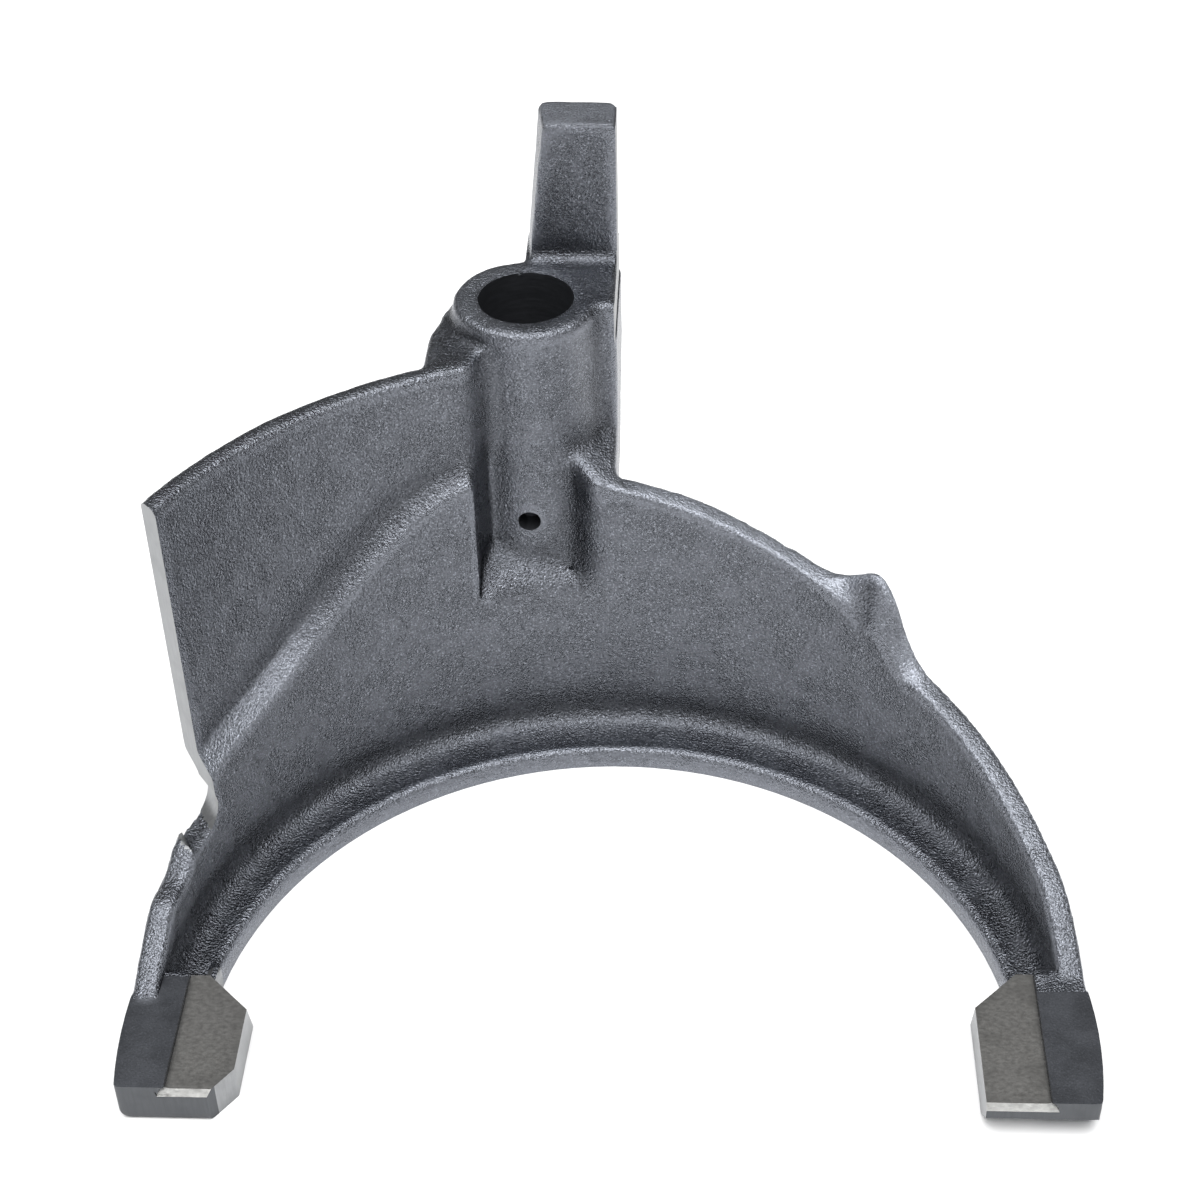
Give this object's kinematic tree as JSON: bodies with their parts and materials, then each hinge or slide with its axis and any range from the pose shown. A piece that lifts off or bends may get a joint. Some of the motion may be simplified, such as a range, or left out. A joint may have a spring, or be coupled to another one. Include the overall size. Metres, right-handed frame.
{
  "type": "shift fork",
  "caption": "Cast shift fork: a half-round web straddles a gearbox sleeve and carries a hub for the shift rail, a driving lug and wear pads on the arm tips.",
  "frame": {"origin": "on the sleeve's axis, in the plane of the flange's underside", "axes": "+Z along the shift rail from the underside to the hub and the lug, +Y from the open mouth to the hub, +X to the right arm when seen from the mouth"},
  "size_m": [0.1886, 0.1585, 0.1341],
  "materials": {
    "cast_steel": "shot-blasted casting skin, with milled and ground faces"
  },
  "bodies": {
    "root": {"shift_fork": "cast_steel"}
  },
  "joints": []
}
